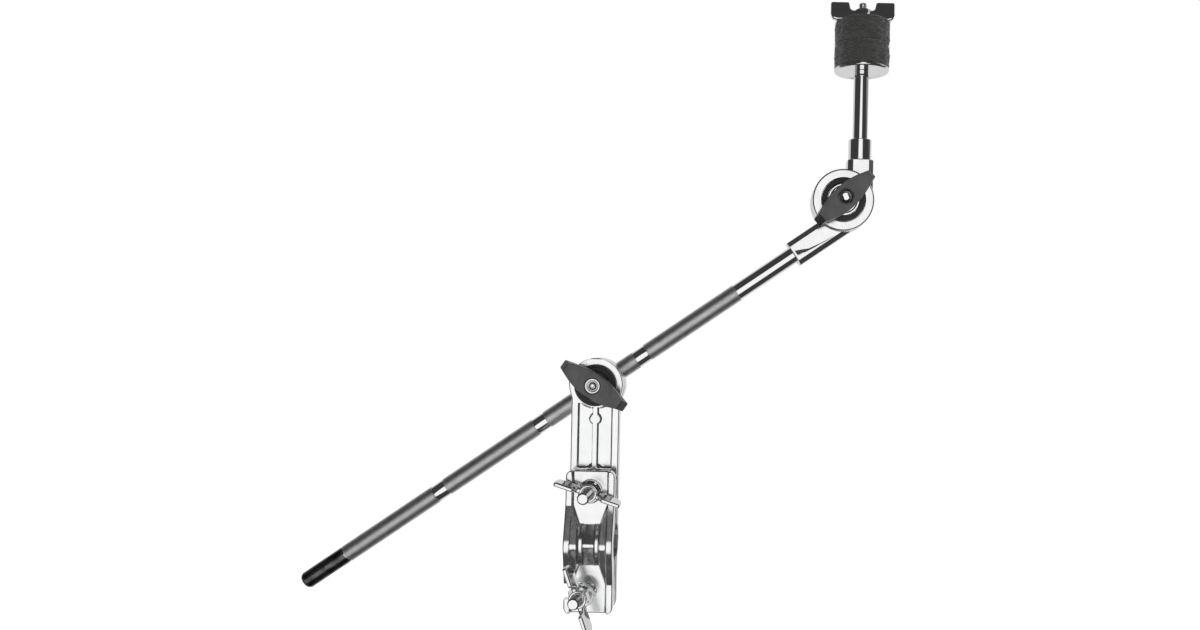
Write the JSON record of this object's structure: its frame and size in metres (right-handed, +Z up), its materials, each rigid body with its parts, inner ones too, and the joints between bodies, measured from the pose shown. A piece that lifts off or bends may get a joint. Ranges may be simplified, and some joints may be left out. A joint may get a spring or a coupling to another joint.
{
  "type": "cymbal boom arm",
  "caption": "Knurled boom arm on a two-jaw tube clamp, with a ratchet tilter, felts and wing nuts that hold a cymbal.",
  "frame": {"origin": "centre of the tube gripped by the clamp, midway along the jaws", "axes": "+X along the gripped tube, +Z up the bracket to the boom holder, -Y the side of the levers and wing nuts"},
  "size_m": [0.4224, 0.097, 0.4442],
  "materials": {
    "chrome_casting": "bright chrome on a die casting",
    "chrome_steel": "bright chrome",
    "boom_steel": "chrome, satin where knurled",
    "plain_steel": "dark plated steel",
    "black_lever": "satin moulded black",
    "black_disc": "matte black",
    "felt": "dense pressed felt",
    "sleeve": "nylon"
  },
  "bodies": {
    "bracket": {"bracket_arm": "chrome_casting", "jaw_bolt": "chrome_steel", "swing_pin": "plain_steel", "holder_washer": "black_disc"},
    "jaw": {"front_jaw": "chrome_casting", "jaw_washer": "chrome_steel"},
    "jaw_nut": {"jaw_wing_nut": "chrome_steel"},
    "swing": {"swing_bolt": "chrome_steel"},
    "swing_slider": {"swing_washer": "chrome_steel"},
    "swing_nut": {"swing_wing_nut": "chrome_steel"},
    "holder": {"holder_drum": "chrome_steel", "eye_bolt": "chrome_steel", "holder_spring": "plain_steel"},
    "holder_handle": {"holder_lever": "black_lever", "holder_lever_nut": "chrome_steel"},
    "boom": {"boom_tube": "boom_steel", "boom_plug": "black_disc"},
    "socket": {"tilter_socket": "chrome_casting", "socket_screw": "plain_steel", "tilter_bolt": "chrome_steel", "tilter_spring": "plain_steel"},
    "head": {"tilter_head": "chrome_casting", "tilter_ring": "black_disc", "tilter_thrust_washer": "chrome_steel", "rod_collar": "chrome_steel", "cymbal_rod": "chrome_steel", "cup_washer": "chrome_steel", "felt_sleeve": "sleeve"},
    "tilter_handle": {"tilter_lever": "black_lever", "tilter_lever_nut": "chrome_steel"},
    "lower_felt": {"felt_lower": "felt"},
    "upper_felt": {"felt_upper": "felt"},
    "top_nut": {"cymbal_wing_nut": "chrome_steel"}
  },
  "joints": [
    {"name": "jaw_slide", "type": "slide", "parent": "bracket", "child": "jaw", "axis": [0, -1, 0], "range_m": [-0.003, 0.01]},
    {"name": "jaw_nut_spin", "type": "hinge", "parent": "jaw", "child": "jaw_nut", "pos_m": [0, -0.015, 0.0366], "axis": [0, -1, 0], "continuous": true},
    {"name": "swing_bolt_swing", "type": "hinge", "parent": "bracket", "child": "swing", "pos_m": [0, 0.01, -0.0317], "axis": [0, 0, -1], "range_deg": [-5, 75]},
    {"name": "swing_slider_slide", "type": "slide", "parent": "swing", "child": "swing_slider", "axis": [-0.0872, -0.9962, 0], "range_m": [-0.003, 0.01]},
    {"name": "swing_nut_spin", "type": "hinge", "parent": "swing_slider", "child": "swing_nut", "pos_m": [0, 0.01, -0.0317], "axis": [-0.0872, -0.9962, 0], "continuous": true},
    {"name": "boom_tilt", "type": "hinge", "parent": "bracket", "child": "holder", "pos_m": [0, 0.031, 0.1085], "axis": [0, -1, 0], "range_deg": [-60, 50]},
    {"name": "holder_lever_turn", "type": "hinge", "parent": "holder", "child": "holder_handle", "pos_m": [0, 0, 0.1085], "axis": [0, -1, 0], "continuous": true},
    {"name": "boom_slide", "type": "slide", "parent": "holder", "child": "boom", "axis": [0.8192, 0, 0.5736], "range_m": [-0.145, 0.23]},
    {"name": "boom_roll", "type": "hinge", "parent": "boom", "child": "socket", "pos_m": [0.17939, 0.031, 0.23411], "axis": [0.8192, 0, 0.5736], "continuous": true},
    {"name": "tilter_tilt", "type": "hinge", "parent": "socket", "child": "head", "pos_m": [0.17228, 0.031, 0.24427], "axis": [0, -1, 0], "range_deg": [-75, 100]},
    {"name": "tilter_lever_turn", "type": "hinge", "parent": "socket", "child": "tilter_handle", "pos_m": [0.17228, 0.031, 0.24427], "axis": [0, -1, 0], "continuous": true},
    {"name": "felt_lower_lift", "type": "slide", "parent": "head", "child": "lower_felt", "axis": [0, 0, 1], "range_m": [0, 0.002]},
    {"name": "felt_upper_lift", "type": "slide", "parent": "lower_felt", "child": "upper_felt", "axis": [0, 0, 1], "range_m": [0, 0.006]},
    {"name": "top_nut_spin", "type": "hinge", "parent": "upper_felt", "child": "top_nut", "pos_m": [0.18468, 0.031, 0.37517], "axis": [0, 0, 1], "continuous": true}
  ],
  "couplings": [
    {"joint": "swing_slider_slide", "follows": "jaw_slide", "ratio": 1}
  ]
}
